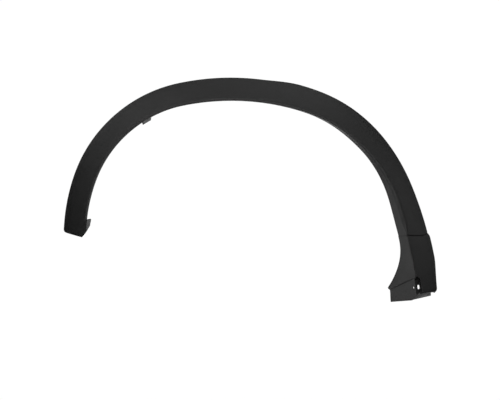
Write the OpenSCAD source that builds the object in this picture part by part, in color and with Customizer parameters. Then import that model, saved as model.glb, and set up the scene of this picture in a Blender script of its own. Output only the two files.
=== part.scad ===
// Wheel arch trim for the front wing of a crossover, one injection moulding in black plastic.
// Millimetres. +X runs to the rear of the car, +Y into the body, +Z up.
// The origin is midway between the two crown clip holes, on the face that the wing seats against.

/* [Lip line] */
// Radius of the lip line over the crown of the arch
crown_radius = 670; // [600:5:760]
// Turn of the crown arc toward the front of the car, in degrees
crown_front_turn = 12; // [9:0.5:15]
// Turn of the crown arc toward the rear of the car, in degrees
crown_rear_turn = 17.5; // [14:0.5:21]
// Radius of the shoulder toward the front of the car
front_shoulder_radius = 300; // [260:5:340]
// Turn of the front shoulder, in degrees
front_shoulder_turn = 58; // [50:0.5:62]
// Radius of the short front leg
front_leg_radius = 430; // [380:5:600]
// Turn of the front leg, in degrees
front_leg_turn = 20.2; // [16:0.2:24]
// Radius of the shoulder toward the rear of the car
rear_shoulder_radius = 390; // [350:5:430]
// Turn of the rear shoulder, in degrees
rear_shoulder_turn = 51.5; // [46:0.5:56]
// Radius of the long rear leg
rear_leg_radius = 1150; // [1050:10:1500]
// Turn of the rear leg, in degrees
rear_leg_turn = 12.8; // [11:0.2:14]

/* [Plan of the body side] */
// Radius in plan by which the front half curves round toward the bumper
front_plan_radius = 1400; // [1200:50:3000]
// Radius in plan of the rear half, toward the door
rear_plan_radius = 6000; // [3000:100:12000]

/* [Band] */
// Wall thickness of the moulding
wall = 2.6; // [2.2:0.1:3]
// Width of the outer face at the front end
width_front_end = 54.5; // [50:0.5:60]
// Width of the outer face at the crown
width_crown = 60.5; // [54:0.5:66]
// Width of the outer face at the rear shoulder
width_shoulder = 66.5; // [60:0.5:72]
// Width of the outer face along the rear leg
width_leg = 61.5; // [56:0.5:66]
// Width of the outer face just above the step
width_above_step = 64.5; // [58:0.5:68]
// Width of the outer face just below the step
width_foot = 70; // [65:0.5:76]
// Width of the outer face at the bottom of the foot
width_foot_end = 62; // [57:0.5:68]
// How far the outer edge lies behind the lip
edge_setback = 10; // [6:0.5:14]
// How far the outer face bulges between the lip and the outer edge
face_bulge = 1.6; // [0.5:0.1:3]
// Radius along the outer edge
edge_radius = 2; // [1.4:0.1:2.4]
// Depth of the narrow wall that closes the outer edge against the wing
edge_wall_depth = 6; // [4:0.5:8]

/* [Return flange] */
// Radius of the lip between the outer face and the return flange
lip_radius = 7; // [6:0.5:8]
// Radius of the lip along the rear leg
leg_lip_radius = 15; // [11:0.5:16]
// Radius of the lip along the foot and the end tab
foot_lip_radius = 4; // [3.6:0.1:5]
// Depth of the flange from the front end to the crown
flange_depth = 15; // [13:0.5:20]
// Lean of the flange there, in degrees toward the wheel
flange_lean = 0; // [0:0.5:4]
// Depth of the flange at the middle of the rear shoulder
shoulder_flange_depth = 26; // [23:0.5:31]
// Lean of the flange at the middle of the rear shoulder, in degrees
shoulder_flange_lean = 8; // [4:0.5:12]
// Depth of the flange beside the step
leg_flange_depth = 39.5; // [37:0.5:44]
// Lean of the flange beside the step, in degrees
leg_flange_lean = 18; // [15:0.5:21]
// Depth of the flange where it reaches the foot panel
foot_flange_depth = 118; // [110:0.5:124]
// Lean of the foot panel, in degrees
foot_flange_lean = 24; // [21:0.5:27]

/* [Front end] */
// Height of the end tab at the lip
end_tab_height = 45; // [38:1:52]
// Depth of the end tab behind the lip
end_tab_depth = 44; // [36:1:52]
// Lean of the end tab, in degrees
end_tab_lean = 20; // [16:0.5:24]
// Length of the notch between the end tab and the flange
end_notch_length = 23; // [16:1:30]
// Flange depth left in the notch
end_notch_depth = 9; // [8:0.5:11]
// Slope of the bottom edge of the outer face
end_slope = 0.22; // [0.1:0.01:0.3]
// Radius of the corner at the bottom of the outer edge
end_corner_radius = 5; // [3:0.5:8]
// Slope of the end tab's bottom edge, up toward the body
end_tab_slope = 0.38; // [0.26:0.01:0.44]
// Slope of the end tab's top edge, up toward the body
end_tab_top_slope = 0.13; // [0.05:0.01:0.2]

/* [Liner tab] */
// Distance of the tab that holds the wheel liner, along the lip from the front end
liner_tab_place = 342; // [300:2:380]
// Width of the liner tab
liner_tab_width = 26; // [20:1:32]
// Reach of the liner tab beyond the flange
liner_tab_reach = 20; // [14:1:24]
// Lean of the liner tab, in degrees
liner_tab_lean = 18; // [14:1:26]

/* [Foot] */
// Height of the step above the bottom of the foot
step_height = 163; // [156:1:172]
// Depth of the step in the outer face
step_depth = 2.6; // [1.5:0.1:3.5]
// Length over which the step drops
step_run = 3; // [2:0.5:4]
// Length over which the outer edge widens below the step
step_flare = 14; // [10:1:18]
// Slope of the step across the band
step_slope = 0.3; // [0.2:0.01:0.36]
// Rise of the foot's bottom edge across the band, toward the outer edge
bottom_rise = 0.05; // [0:0.01:0.1]
// Height of the joggled part of the foot panel
joggle_height = 47; // [42:1:52]
// Depth of the joggle in the foot panel
joggle_depth = 2.4; // [1.5:0.1:3]
// Width of the screw pocket in the corner of the foot
pocket_width = 11.5; // [11:0.5:14]
// Depth of the screw pocket
pocket_depth = 11; // [8:0.5:13]
// Slope of the foot panel's lines down toward the body
panel_slope = 0.28; // [0.22:0.01:0.36]
// Depth of the bottom wall of the foot
bottom_wall_depth = 32; // [24:1:36]
// Slope of the bottom wall down toward the body
bottom_wall_slope = 0.58; // [0.45:0.01:0.7]
// Clearance between the bottom wall and the outer edge
bottom_wall_gap = 22; // [14:1:28]
// How much closer to the outer edge the bottom wall comes at its back
bottom_wall_flare = 8; // [4:1:10]
// Radius of the corner at the bottom of the outer edge
foot_corner_radius = 9; // [5:0.5:11]

/* [Fixings] */
// Width of the screw slot in the pocket
slot_width = 6.5; // [6:0.5:8]
// Height of the screw slot in the pocket
slot_height = 12; // [10:0.5:16]
// Diameter of the locating hole in the foot panel
locating_hole = 5.5; // [4.5:0.5:6.5]
// Distance of the locating hole behind the lip
locating_hole_inset = 21; // [19:0.5:24]
// Height of the slot above the bottom of the foot
fixing_height = 21; // [17:0.5:24]
// Height of the locating hole above the slot
locating_hole_rise = 4; // [2:0.5:6]
// Diameter of the clip holes
clip_hole = 8; // [8:0.5:10]
// Width of the mouth through which a clip slides into its hole
clip_mouth = 5.2; // [4.5:0.1:5.4]
// Length along the arch of a clip seat
clip_seat_length = 22; // [20:1:28]
// Width across the band of a clip seat
clip_seat_width = 20; // [18:1:24]
// Wall thickness of a clip seat
clip_seat_wall = 2; // [1.6:0.1:2.4]
// Distance between the two crown clip holes
crown_clip_spacing = 150; // [120:5:180]
// Number of other clip seats toward the front
front_clips = 3; // [2:1:4]
// Number of other clip seats toward the rear
rear_clips = 4; // [3:1:5]
// Distance from the last clip seat to either end
clip_end_margin = 60; // [50:5:80]
// Thickness of the stiffening ribs
rib = 1.6; // [1.2:0.1:2]
// Reach of the ribs from the corner of the lip
rib_reach = 11; // [9:0.5:12]
// Number of stiffening ribs
ribs = 16; // [8:1:20]

/* [Hidden] */
$fn = 48;

// Longest pitch of the cross-sections
pitch = 12;
// How deep pieces that are moulded together reach into one another
bite = wall / 2;

// The lip line
// Arcs of [radius, turn] from the crown toward each end
FRONT = [[crown_radius, crown_front_turn], [front_shoulder_radius, front_shoulder_turn],
    [front_leg_radius, front_leg_turn]];
REAR = [[crown_radius, crown_rear_turn], [rear_shoulder_radius, rear_shoulder_turn],
    [rear_leg_radius, rear_leg_turn]];
function arc_length(arc) = arc[0] * arc[1] * PI / 180;
function sum(list, i = 0) = i == len(list) ? 0 : list[i] + sum(list, i + 1);
front_length = sum([for (arc = FRONT) arc_length(arc)]);
rear_length = sum([for (arc = REAR) arc_length(arc)]);

// Point and fall [x, z, degrees] at a distance along a chain of tangent arcs
function walk(arcs, run, i = 0, x = 0, z = 0, fall = 0) =
    let (
        radius = arcs[i][0],
        last = i == len(arcs) - 1 || run <= arc_length(arcs[i]),
        turn = last ? run / radius * 180 / PI : arcs[i][1],
        x1 = x + radius * (sin(fall + turn) - sin(fall)),
        z1 = z - radius * (cos(fall) - cos(fall + turn))
    )
    last ? [x1, z1, fall + turn] : walk(arcs, run - arc_length(arcs[i]), i + 1, x1, z1, fall + turn);

// Lip point and heading at s, which is 0 at the crown, negative to the front and positive to the rear
function lip(s) =
    let (side = s < 0 ? -1 : 1, p = walk(s < 0 ? FRONT : REAR, abs(s)))
    [side * p[0], p[1], -side * p[2]];

// Depth of the body side at x
function plan(x) = x * x / (2 * (x < 0 ? front_plan_radius : rear_plan_radius));

// Places along the lip
front_end = -front_length;
tab_top = front_end + end_tab_height;
notch_top = tab_top + end_notch_length;
liner_from = front_end + liner_tab_place;
liner_to = liner_from + liner_tab_width;
// Shares of the crown's rear arc at which the rear shoulder's wider part begins and is full
shoulder_from_share = 0.3;
shoulder_full_share = 0.8;
shoulder_from = arc_length(REAR[0]) * shoulder_from_share;
shoulder_full = arc_length(REAR[0]) * shoulder_full_share;
// Lengths over which the wide part stays past the crown arc, and has ended before the leg
shoulder_wide_run = 60;
shoulder_narrow_run = 36;
shoulder_wide_to = arc_length(REAR[0]) + shoulder_wide_run;
shoulder_mid = arc_length(REAR[0]) + arc_length(REAR[1]) / 2;
shoulder_end = arc_length(REAR[0]) + arc_length(REAR[1]);
shoulder_narrow_from = shoulder_end - shoulder_narrow_run;
step_at = rear_length - step_height;
joggle_at = rear_length - joggle_height;
fixing_at = rear_length - fixing_height;
// Lengths over which the tab edges, the joggle and the pocket's round top change
sharp = 1;
joggle_run = 2.5;
pocket_run = 7;
// Distance above the step over which the leg's wide lip tightens
leg_lip_end = 40;
// Power of the curve in which the flange deepens to the tip of the foot panel
foot_power = 2.6;
// Depth that the foot panel loses just below its tip, and the length over which it does
tip_loss = 5;
tip_run = 9;
// Depth that the foot panel regains from the tip to its bottom edge
foot_regain = 3;
// Distance of the tip above the joggle
tip_lead = 6;
tip_at = joggle_at - tip_lead;

// Depth of the plane in which the clip seats and the outer edge meet the wing
seat_plane = edge_setback + edge_wall_depth;
// Crown clip holes, set apart about the crown at the middle of the band
crown_clip_u = width_crown / 2;
crown_clip_angle = asin(crown_clip_spacing / 2 / (crown_radius + crown_clip_u));
crown_clip_at = crown_radius * crown_clip_angle * PI / 180;
// Other clips, evenly between the crown pair and the ends
front_pitch = (front_length - clip_end_margin - crown_clip_at) / front_clips;
rear_pitch = (rear_length - clip_end_margin - crown_clip_at) / rear_clips;
clip_places = [
    for (i = [1:front_clips]) -crown_clip_at - front_pitch * i,
    for (i = [1:rear_clips]) crown_clip_at + rear_pitch * i];
// Run of the stiffening ribs, between the notch and the step
rib_from = notch_top + pitch;
rib_to = step_at - pitch;
// How far the bottom wall sits above the edge of the foot
bottom_wall_lift = 0.4;
// The origin, midway between the crown clip holes
origin = [0, seat_plane, (crown_radius + crown_clip_u) * cos(crown_clip_angle) - crown_radius];

// Eased value between stops of [place, value]
function ease(t) = let (k = min(1, max(0, t))) k * k * (3 - 2 * k);
function between(s, from, to) = ease((s - from) / (to - from));
function along(s, stops, i = 0) =
    i == len(stops) - 1 || s <= stops[i][0] ? stops[i][1] :
    s < stops[i + 1][0] ?
        stops[i][1] + (stops[i + 1][1] - stops[i][1]) * between(s, stops[i][0], stops[i + 1][0]) :
        along(s, stops, i + 1);

// Size of the band at s
// Width lost to a rounded corner at a distance from the end of the band
function corner_loss(distance, radius) =
    let (k = max(0, radius - distance))
    radius - sqrt(radius * radius - k * k);
function width_at(s) = along(s, [
    [front_end, width_front_end],
    [0, width_crown],
    [shoulder_from, width_crown],
    [shoulder_full, width_shoulder],
    [shoulder_wide_to, width_shoulder],
    [shoulder_narrow_from, width_leg],
    [step_at, width_above_step],
    [step_at + step_flare, width_foot],
    [joggle_at - joggle_height, width_foot],
    [rear_length, width_foot_end]])
    - corner_loss(rear_length - s, foot_corner_radius)
    - corner_loss(s - front_end, end_corner_radius);
function recess_at(s) = step_depth * between(s, step_at, step_at + step_run);
function radius_at(s) =
    in_tab(s) ? foot_lip_radius :
    along(s, [
        [shoulder_mid, lip_radius],
        [step_at - leg_lip_end, leg_lip_radius],
        [step_at, foot_lip_radius]]);
function in_tab(s) = s < tab_top + sharp / 2;
function in_notch(s) = !in_tab(s) && s < notch_top + sharp / 2;
function in_liner_tab(s) = s > liner_from + sharp / 2 && s < liner_to - sharp / 2;
function foot_part(s) = min(1, max(0, (s - step_at) / (tip_at - step_at)));
function depth_at(s) =
    in_tab(s) ? end_tab_depth :
    in_notch(s) ? end_notch_depth :
    along(s, [
        [0, flange_depth],
        [shoulder_full, flange_depth],
        [shoulder_mid, shoulder_flange_depth],
        [step_at, leg_flange_depth]])
        + (foot_flange_depth - leg_flange_depth) * pow(foot_part(s), foot_power)
        - tip_loss * between(s, tip_at, tip_at + tip_run)
        + foot_regain * between(s, tip_at, rear_length);
function lean_at(s) =
    in_tab(s) ? end_tab_lean :
    along(s, [
        [0, flange_lean],
        [shoulder_full, flange_lean],
        [shoulder_mid, shoulder_flange_lean],
        [step_at, leg_flange_lean],
        [joggle_at, foot_flange_lean]]);
function pocket_at(s) = between(s, joggle_at, joggle_at + pocket_run);
function joggle_depth_at(s) = joggle_depth * between(s, joggle_at, joggle_at + joggle_run);
// Depth of the bend across the flange, at most that of the bottom wall
kink_share = 0.7;
function kink_at(s) =
    in_notch(s) ? end_notch_depth - sharp :
    min(bottom_wall_depth, depth_at(s) * kink_share);

// How far a point of the section at s is carried along the lip line, to slope the ends and steps
// Cut-off corner at the bottom of the lip, with its slope
front_corner = 11;
front_corner_slope = 1.3;
// Rounding at the outer end of the step: where it starts across the band, and its radius
step_corner = 40;
step_corner_radius = 30;
// Lengths over which the slopes of the step, the foot panel and the step's rounding come and go
step_blend = 72;
panel_blend = 48;
corner_blend = 30;
// Slope of the foot panel's bottom edge behind the bottom wall
panel_end_slope = 0.03;
function drift(s, u, v) =
    let (
        front = 1 - between(s, front_end, tab_top),
        step = between(s, step_at - step_blend, step_at),
        slope = step_slope - (bottom_rise + step_slope) * between(s, step_at, joggle_at),
        rounding = 1 - between(s, step_at, step_at + corner_blend),
        panel = between(s, step_at - panel_blend, joggle_at),
        end = between(s, joggle_at, rear_length)
    )
    front * end_slope * max(0, u - front_corner)
    + front * front_corner_slope * max(0, front_corner - max(0, u))
    + front * end_tab_slope * v
    + (in_tab(s) ? (1 - front) * end_tab_top_slope * max(0, v - end_notch_depth) : 0)
    + step * slope * u
    - step * rounding * pow(max(0, u - step_corner), 2) / (2 * step_corner_radius)
    + panel * panel_slope * max(0, v)
    + end * (bottom_wall_slope - panel_slope) * min(max(0, v), bottom_wall_depth)
    - end * (panel_slope - panel_end_slope) * max(0, v - bottom_wall_depth);

// Point in space of section coordinates: u outward across the band, v back into the body
function place(s, u, v) =
    let (
        p = lip(s),
        shift = drift(s, u, v),
        x = p[0] - u * sin(p[2]) + shift * cos(p[2]),
        z = p[1] + u * cos(p[2]) + shift * sin(p[2])
    )
    [x, plan(x) + v, z];

// Depth of the outer skin at u
function face(s, u) =
    let (t = u / width_at(s))
    recess_at(s) + edge_setback * t - 4 * face_bulge * t * (1 - t);

// Slope angle of the outer skin at the lip
function face_angle(s) = atan((edge_setback - 4 * face_bulge) / width_at(s));

// Direction of the flange and of its normal toward the wing, as [u, v]
function flange_dir(a) = [-sin(a), cos(a)];
function flange_normal(a) = [cos(a), sin(a)];

// Lip of the section, as a fillet or as the screw pocket, on the outer skin (t = 0) or the inner (t = wall)
fillet_steps = 4;
function fillet(s, t) =
    let (
        a = face_angle(s),
        b = lean_at(s),
        r = radius_at(s),
        run = r / tan((90 + b - a) / 2),
        centre = run * [cos(a), sin(a)] + r * [-sin(a), cos(a)] + [0, recess_at(s)]
    )
    [for (i = [0:fillet_steps])
        let (angle = -90 + a - i / fillet_steps * (90 - b + a))
        centre + (r - t) * [cos(angle), sin(angle)]];
function pocket(s, t) =
    let (
        w = pocket_width + t,
        d = pocket_depth + t,
        n = flange_normal(lean_at(s)),
        g = flange_dir(lean_at(s))
    )
    [
        [w, face(s, w) + t],
        [w, (face(s, w) + t + d) / 2],
        [w, d],
        [w / 2, d],
        n * (t + joggle_depth_at(s)) + g * (d + bite)
    ];
function corner(s, t) =
    let (k = pocket_at(s), f = fillet(s, t), p = pocket(s, t))
    [for (i = [0:fillet_steps]) f[i] * (1 - k) + p[i] * k];

// Flange of the section, bent at the kink for the liner tab
function flange(s, t) =
    let (
        b = lean_at(s),
        c = in_liner_tab(s) ? liner_tab_lean : b,
        base = [0, recess_at(s)] + flange_normal(b) * (t + joggle_depth_at(s)),
        kink = base + flange_dir(b) * kink_at(s),
        reach = depth_at(s) - kink_at(s) + (in_liner_tab(s) ? liner_tab_reach : 0),
        tip = kink + flange_dir(c) * reach + (flange_normal(c) - flange_normal(b)) * t
    )
    [kink, tip];

// Outer edge of the section, with a small radius left on the inner skin
inner_edge_radius = 0.4;
function edge(s, t) =
    let (
        w = width_at(s) - t,
        v = face(s, width_at(s)) + t,
        r = max(edge_radius - t, inner_edge_radius)
    )
    [
        [w, face(s, width_at(s)) + edge_wall_depth],
        for (angle = [0, 45, 90]) [w - r + r * cos(angle), v + r - r * sin(angle)]
    ];

// One skin of the section, from the outer edge over the lip to the rim of the flange
// Shares of the width at which the bulging outer face has a point
face_points = [0.72, 0.45];
function skin(s, t) =
    let (w = width_at(s), near = front_corner + (pocket_width + wall + sharp - front_corner) * pocket_at(s))
    concat(
        edge(s, t),
        [for (u = [for (k = face_points) w * k, near]) [u, face(s, u) + t]],
        corner(s, t),
        flange(s, t));

// The section as a closed ring of points in space
function ring(s) =
    let (
        outer = skin(s, 0),
        inner = skin(s, wall),
        n = len(outer)
    )
    concat(
        [for (p = outer) place(s, p[0], p[1])],
        [for (i = [n - 1:-1:0]) place(s, inner[i][0], inner[i][1])]);

// Places of the sections, closer together at each feature
MARKS = [
    front_end, front_end + end_corner_radius / 3, front_end + end_corner_radius,
    tab_top, tab_top + sharp, notch_top, notch_top + sharp,
    liner_from, liner_from + sharp, liner_to - sharp, liner_to, 0,
    step_at - pitch / 2, step_at, step_at + step_run / 2, step_at + step_run, step_at + step_flare,
    tip_at, tip_at + tip_run / 2, joggle_at, joggle_at + joggle_run, joggle_at + pocket_run,
    rear_length - foot_corner_radius, rear_length - foot_corner_radius / 3, rear_length];
STATIONS = [
    for (i = [0:len(MARKS) - 2])
        let (n = ceil((MARKS[i + 1] - MARKS[i]) / pitch))
        for (k = [0:n - 1]) MARKS[i] + (MARKS[i + 1] - MARKS[i]) * k / n,
    rear_length];

// Closed sweep through rings of points, with a strip of faces between the skins at each end
module sweep(rings) {
    m = len(rings[0]);
    last = len(rings) - 1;
    sides = [
        for (i = [0:last - 1])
            for (j = [0:m - 1])
                let (a = i * m + j, b = i * m + (j + 1) % m, c = a + m, d = b + m)
                each [[a, d, b], [a, c, d]]];
    strip = [
        for (j = [0:m / 2 - 2])
            let (a = j, b = j + 1, c = m - 2 - j, d = m - 1 - j)
            each [[a, b, c], [a, c, d]]];
    cap = [for (f = strip) [for (i = f) i + last * m]];
    polyhedron(
        points = [for (r = rings) each r],
        faces = concat(sides, strip, [for (f = cap) [f[0], f[2], f[1]]]));
}

// Solid between two equal outlines, given one after the other in one list of points
module solid_between(points) {
    n = len(points) / 2;
    ends = [for (i = [1:n - 2]) each [[0, i, i + 1], [n, n + i + 1, n + i]]];
    sides = [
        for (i = [0:n - 1])
            let (j = (i + 1) % n)
            each [[i, n + j, j], [i, n + i, n + j]]];
    polyhedron(points = points, faces = concat(ends, sides));
}

module shell() {
    sweep([for (s = STATIONS) ring(s)]);
}

// Block between the outer face and a plane, its foot sunk in the wall under it
module seat_block(s, u, length, width, plane) {
    p = lip(s);
    corner_points = [
        for (level = [0, 1])
            for (c = [[-1, -1], [-1, 1], [1, 1], [1, -1]])
                let (
                    a = c[0] * length / 2,
                    b = u + c[1] * width / 2,
                    x = p[0] + a * cos(p[2]) - b * sin(p[2]),
                    z = p[1] + a * sin(p[2]) + b * cos(p[2])
                )
                [x, level == 1 ? plane : plan(x) + face(s, b) + bite, z]];
    solid_between(corner_points);
}

// Clip seat behind the outer face: a small box with a keyhole, open toward the rear of the car
module clip_seat(s, u, plane) {
    p = lip(s);
    difference() {
        seat_block(s, u, clip_seat_length, clip_seat_width, plane);
        translate([p[0] - u * sin(p[2]), plane, p[1] + u * cos(p[2])])
            rotate([0, -p[2], 0]) {
                translate([
                    clip_seat_wall - clip_seat_length / 2,
                    -seat_plane - clip_seat_wall,
                    clip_seat_wall - clip_seat_width / 2])
                    cube([clip_seat_length, seat_plane, clip_seat_width - 2 * clip_seat_wall]);
                rotate([90, 0, 0])
                    cylinder(d = clip_hole, h = seat_plane, center = true);
                translate([0, -2 * clip_seat_wall, -clip_mouth / 2])
                    cube([clip_seat_length, 3 * clip_seat_wall, clip_mouth]);
            }
    }
}

// Clip seats along the middle of the band
module clip_seats() {
    for (side = [-1, 1])
        clip_seat(side * crown_clip_at, crown_clip_u, seat_plane);
    for (s = clip_places)
        let (u = width_at(s) / 2, p = lip(s))
        clip_seat(s, u, plan(p[0] - u * sin(p[2])) + seat_plane);
}

// Rib that stiffens the corner between the outer face and the flange
module corner_rib(s) {
    n = flange_normal(lean_at(s));
    g = flange_dir(lean_at(s));
    r = radius_at(s);
    reach = max(rib_reach, r + rib);
    heel = (r - (r - bite) * cos(45)) * [1, 1];
    outline = [heel, [reach, face(s, reach) + bite], n * bite + g * reach];
    solid_between([for (k = [1, -1]) for (q = outline) place(s + k * rib / 2, q[0], q[1])]);
}

module corner_ribs() {
    for (i = [0:ribs - 1])
        corner_rib(rib_from + (rib_to - rib_from) * i / (ribs - 1));
}

// Wall that closes the foot from below and slopes down toward the body
module bottom_wall() {
    s = rear_length;
    n = flange_normal(lean_at(s)) * (joggle_depth + bite);
    g = flange_dir(lean_at(s));
    u1 = width_foot_end - bottom_wall_gap;
    outline = [
        n + g * bite,
        [u1, face(s, u1) + bite],
        [u1 + bottom_wall_flare, bottom_wall_depth],
        n + g * bottom_wall_depth];
    points = [
        for (lift = [bottom_wall_lift, bottom_wall_lift + wall])
            for (q = outline)
                let (p = place(s, q[0], q[1]), h = lip(s)[2])
                p - lift * [cos(h), 0, sin(h)]];
    solid_between(points);
}

// Upright screw slot through the floor of the pocket, which is open toward the wheel
module screw_slot() {
    translate(place(fixing_at, (pocket_width + sharp) / 2, pocket_depth))
        rotate([0, -lip(fixing_at)[2], 0])
            rotate([90, 0, 0]) {
                for (side = [-1, 1])
                    translate([side * (slot_height - slot_width) / 2, 0, 0])
                        cylinder(d = slot_width, h = 4 * wall, center = true);
                cube([slot_height - slot_width, slot_width, 4 * wall], center = true);
            }
}

// Round locating hole, square to the foot panel
module panel_hole() {
    s = fixing_at - locating_hole_rise;
    b = lean_at(s);
    q = flange_dir(b) * locating_hole_inset + flange_normal(b) * joggle_depth;
    translate(place(s, q[0], q[1]))
        rotate([0, -lip(s)[2], 0])
            rotate([-b, 0, 0])
                cylinder(d = locating_hole, h = 4 * wall, center = true);
}

module arch_trim() {
    color("#2b2c2e")
        translate(-origin) {
            difference() {
                union() {
                    shell();
                    bottom_wall();
                    clip_seats();
                    corner_ribs();
                }
                screw_slot();
                panel_hole();
            }
        }
}

arch_trim();
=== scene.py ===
"""Looks of a wheel arch trim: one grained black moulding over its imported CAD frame.

The moulding is swept again through much finer cross-sections than the frame's own node, with its
moulded edges rounded, and stands for that node. Sections are worked out in millimetres and degrees,
and meshes hold metres. A place along the trim is s, which is 0 at the crown, negative toward the
front and positive toward the rear. In a section, u runs outward across the band and v back into the
car's body.
"""

import logging
import math
from collections.abc import Sequence
from dataclasses import dataclass, field
from enum import Enum

import bmesh
import bpy
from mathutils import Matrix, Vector

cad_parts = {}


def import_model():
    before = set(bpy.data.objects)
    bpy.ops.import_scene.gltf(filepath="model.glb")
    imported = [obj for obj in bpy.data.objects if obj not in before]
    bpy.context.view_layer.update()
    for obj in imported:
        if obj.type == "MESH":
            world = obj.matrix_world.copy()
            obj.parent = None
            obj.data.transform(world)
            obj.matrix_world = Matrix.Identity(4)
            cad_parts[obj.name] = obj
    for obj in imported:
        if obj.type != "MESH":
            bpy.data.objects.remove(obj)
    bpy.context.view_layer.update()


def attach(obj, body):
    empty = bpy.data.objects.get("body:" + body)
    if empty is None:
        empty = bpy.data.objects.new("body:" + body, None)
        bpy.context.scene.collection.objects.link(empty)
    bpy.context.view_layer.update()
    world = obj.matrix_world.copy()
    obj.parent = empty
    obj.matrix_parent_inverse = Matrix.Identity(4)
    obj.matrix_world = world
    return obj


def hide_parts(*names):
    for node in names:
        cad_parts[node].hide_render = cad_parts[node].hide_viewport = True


log = logging.getLogger("wheel_arch_trim")

MM = 0.001
BODY = "root"
NODE = "arch_trim"

# What counts as no share of a step, and as no distance between two points, in metres
ROUNDING_ERROR = 1e-6
SAME_POINT = 1e-7

# Sockets of a Mix node that mixes colours. Its sockets for other kinds of value have the same names.
MIX_FIRST_COLOUR = 6
MIX_SECOND_COLOUR = 7
MIX_COLOUR_RESULT = 2

# Angles of the points that round a rim or a corner
QUARTER_TURN = (0, 30, 60, 90)

Pair = tuple[float, float]
Colour = tuple[float, float, float, float]


class Joining(Enum):
    """How one solid is put together with another."""

    JOIN = "UNION"
    CUT = "DIFFERENCE"


def eased(share: float) -> float:
    """Share from 0 to 1, eased at both ends."""
    held = min(1.0, max(0.0, share))
    return held * held * (3 - 2 * held)


def between(s: float, start: float, end: float) -> float:
    """Eased share of the way from start to end."""
    return eased((s - start) / (end - start))


def along(s: float, stops: Sequence[Pair]) -> float:
    """Value at s, eased from one stop to the next.

    Args:
        s: Place along the trim.
        stops: Places and their values, in order.

    Returns:
        The value at s, held before the first stop and after the last.
    """
    if s <= stops[0][0]:
        return stops[0][1]
    for (start, low), (end, high) in zip(stops, stops[1:]):
        if s < end:
            return low + (high - low) * between(s, start, end)
    return stops[-1][1]


def corner_loss(distance: float, radius: float) -> float:
    """Height that a rounded corner loses at a distance from its edge."""
    left = max(0.0, radius - distance)
    return radius - math.sqrt(radius * radius - left * left)


def spread(count: int) -> list[float]:
    """Shares from 0 to 1 in count equal steps."""
    return [i / count for i in range(count + 1)]


def opaque_grey(level: float) -> Colour:
    """Opaque grey of a level."""
    return level, level, level, 1


def sine_cosine(degrees: float) -> Pair:
    """Sine and cosine of an angle in degrees."""
    angle = math.radians(degrees)
    return math.sin(angle), math.cos(angle)


def ray(degrees: float) -> Vector:
    """Unit vector of the section at an angle from u toward v."""
    sine, cosine = sine_cosine(degrees)
    return Vector((cosine, sine))


def arc_points(radius: float, start: float, turn: float, steps: int, shift: float = 0.0) -> list[Pair]:
    """Points of an arc in the plane.

    Args:
        radius: Radius of the arc.
        start: Angle of its first point, in degrees.
        turn: Angle from its first point to its last, in degrees.
        steps: Number of steps between them.
        shift: Distance of its centre along the first axis.

    Returns:
        The points, in order.
    """
    points = []
    for share in spread(steps):
        sine, cosine = sine_cosine(start + turn * share)
        points.append((shift + radius * cosine, radius * sine))
    return points


@dataclass(frozen=True)
class Arc:
    """One arc of the lip line."""

    radius: float
    turn: float

    @property
    def length(self) -> float:
        """Length along the arc."""
        return self.radius * math.radians(self.turn)


@dataclass(frozen=True)
class LipLine:
    """Tangent arcs from the crown toward both ends, bent in plan round the body side."""

    front: tuple[Arc, ...] = (Arc(670, 12), Arc(300, 58), Arc(430, 20.2))
    rear: tuple[Arc, ...] = (Arc(670, 17.5), Arc(390, 51.5), Arc(1150, 12.8))
    front_plan_radius: float = 1400
    rear_plan_radius: float = 6000

    @property
    def front_length(self) -> float:
        """Length from the crown to the front end."""
        return sum(arc.length for arc in self.front)

    @property
    def rear_length(self) -> float:
        """Length from the crown to the bottom of the foot."""
        return sum(arc.length for arc in self.rear)

    def at(self, s: float) -> tuple[float, float, float]:
        """Lip point and heading.

        Args:
            s: Place along the trim.

        Returns:
            The point's x and z, and the heading in degrees.
        """
        side = -1 if s < 0 else 1
        arcs = self.front if s < 0 else self.rear
        x = z = fall = 0.0
        run = abs(s)
        for arc in arcs:
            last = arc is arcs[-1] or run <= arc.length
            turn = math.degrees(run / arc.radius) if last else arc.turn
            start = math.radians(fall)
            end = math.radians(fall + turn)
            x += arc.radius * (math.sin(end) - math.sin(start))
            z -= arc.radius * (math.cos(start) - math.cos(end))
            fall += turn
            run -= arc.length
            if last:
                break
        return side * x, z, -side * fall

    def plan(self, x: float) -> float:
        """Depth of the body side at x."""
        return x * x / (2 * (self.front_plan_radius if x < 0 else self.rear_plan_radius))


@dataclass(frozen=True)
class Slice:
    """Everything that shapes the section at one place. The heading is in radians."""

    s: float
    x: float
    z: float
    heading: float
    width: float
    recess: float
    radius: float
    depth: float
    lean: float
    tip_lean: float
    kink: float
    pocket: float
    joggle: float
    setback: float
    bulge: float

    def face(self, u: float) -> float:
        """Depth of the outer face at u."""
        t = u / self.width
        return self.recess + self.setback * t - 4 * self.bulge * t * (1 - t)

    @property
    def face_angle(self) -> float:
        """Slope of the outer face at the lip, in degrees."""
        return math.degrees(math.atan((self.setback - 4 * self.bulge) / self.width))

    @property
    def inward(self) -> Vector:
        """Normal of the flange toward the wing."""
        return ray(self.lean)

    @property
    def back(self) -> Vector:
        """Direction of the flange back into the body."""
        return ray(90 + self.lean)


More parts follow.
